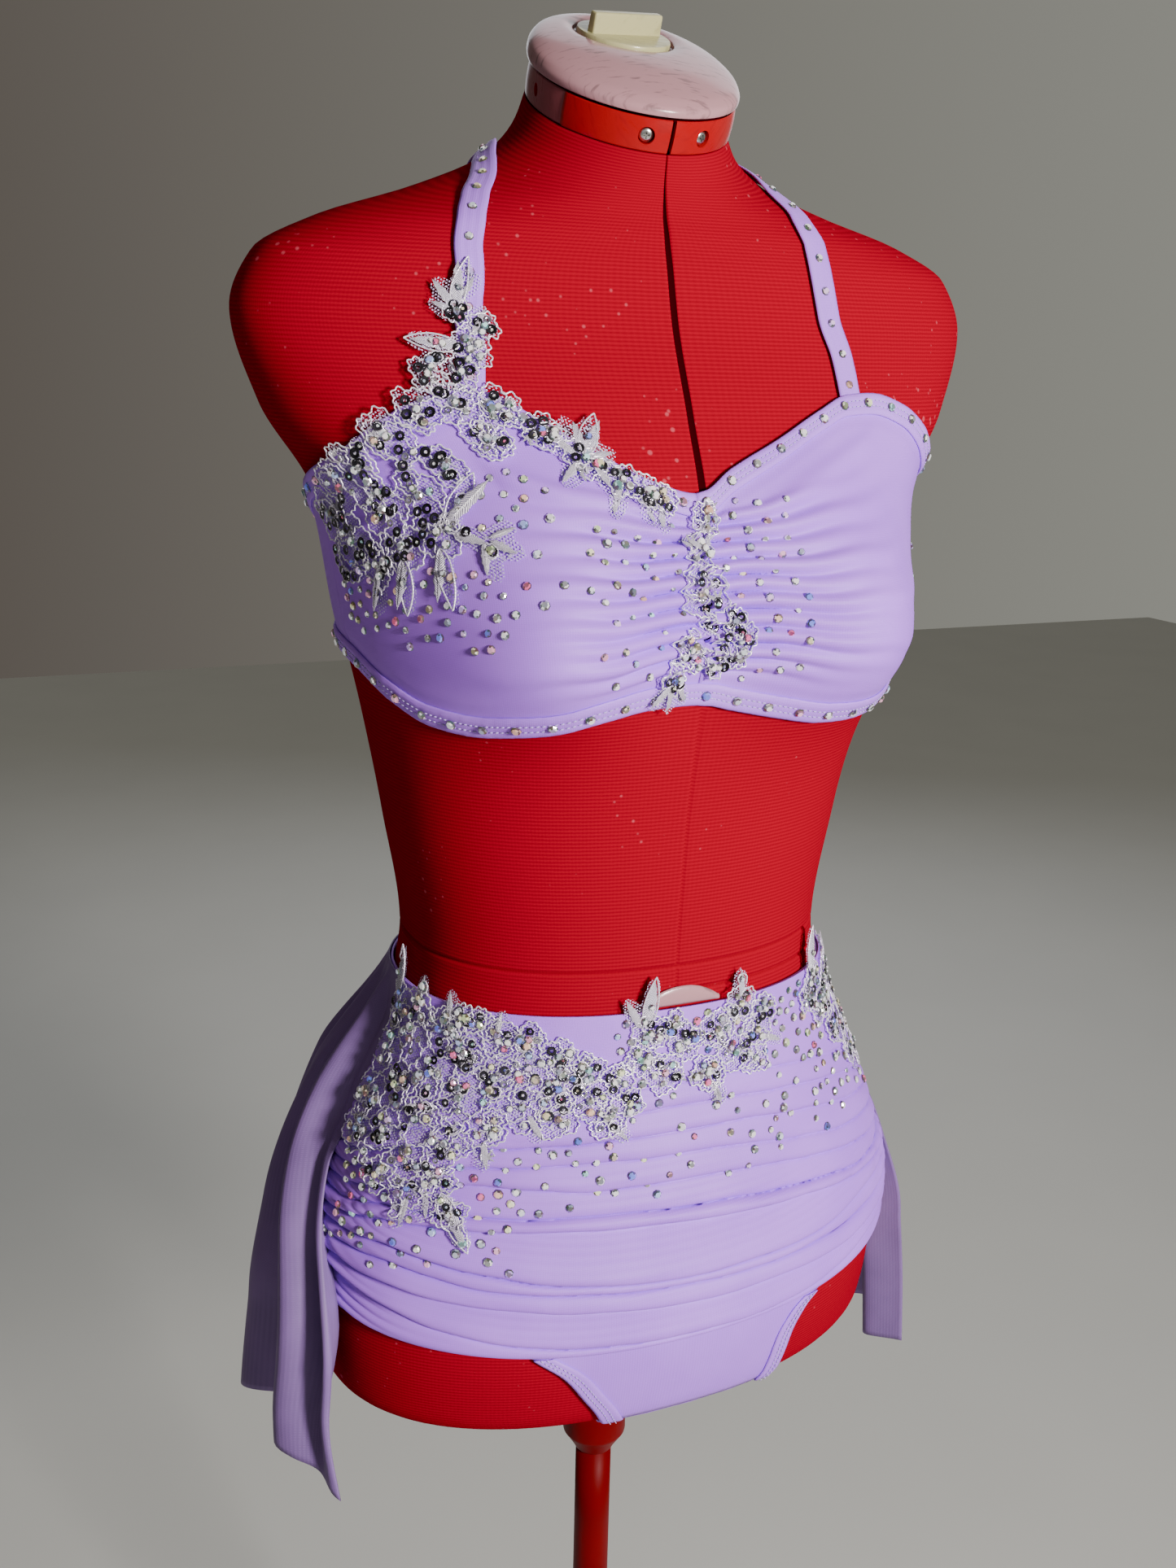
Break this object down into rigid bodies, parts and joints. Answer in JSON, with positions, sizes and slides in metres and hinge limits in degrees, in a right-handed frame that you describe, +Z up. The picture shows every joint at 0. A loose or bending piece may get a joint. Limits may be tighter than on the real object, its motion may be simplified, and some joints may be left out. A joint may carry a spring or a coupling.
{
  "type": "lyrical dance costume on a limbless dress form",
  "caption": "Lilac lyrical dance costume, a cropped top and ruched briefs with a half skirt and sequinned lace, on a limbless dress form with a pole stand.",
  "frame": {"origin": "on the floor under the pole, at the middle of the stand's base", "axes": "+Z up, the form faces -Y, and +X is the wearer's left"},
  "size_m": [0.54, 0.54, 1.5285],
  "materials": {
    "lilac_jersey": "matte stretch jersey",
    "skirt_mesh": "fine matte mesh",
    "lace": "embroidered tulle with sequins",
    "red_jersey": "matte ribbed jersey",
    "red_plastic": "gloss",
    "pink_plastic": "gloss",
    "cream_plastic": "satin",
    "red_enamel": "dark red enamel"
  },
  "bodies": {
    "costume_and_form": {"back_skirt": "skirt_mesh", "brief_back": "lilac_jersey", "brief_front": "lilac_jersey", "cup_left": "lilac_jersey", "cup_right": "lilac_jersey", "form_torso": "red_jersey", "gusset": "lilac_jersey", "lace_centre": "lace", "lace_cup": "lace", "lace_strap": "lace", "lace_waist_front": "lace", "lace_waist_left": "lace", "lace_waist_right": "lace", "leg_binding_left": "lilac_jersey", "leg_binding_right": "lilac_jersey", "neck_band": "red_plastic", "neck_cap": "pink_plastic", "neckline_binding_left": "lilac_jersey", "neckline_binding_right": "lilac_jersey", "pole": "red_enamel", "pole_collar": "red_plastic", "ruched_panel": "lilac_jersey", "stand_base": "red_enamel", "stand_hub": "red_enamel", "strap_left": "lilac_jersey", "strap_right": "lilac_jersey", "top_back": "lilac_jersey", "underband": "lilac_jersey", "waist_dial": "pink_plastic"},
    "dial": {"neck_dial": "cream_plastic"}
  },
  "joints": [
    {"name": "neck_dial_turn", "type": "hinge", "parent": "costume_and_form", "child": "dial", "pos_m": [0, 0.01, 1.51], "axis": [0, -0.4067, 0.9135], "range_deg": [-90, 90]}
  ]
}
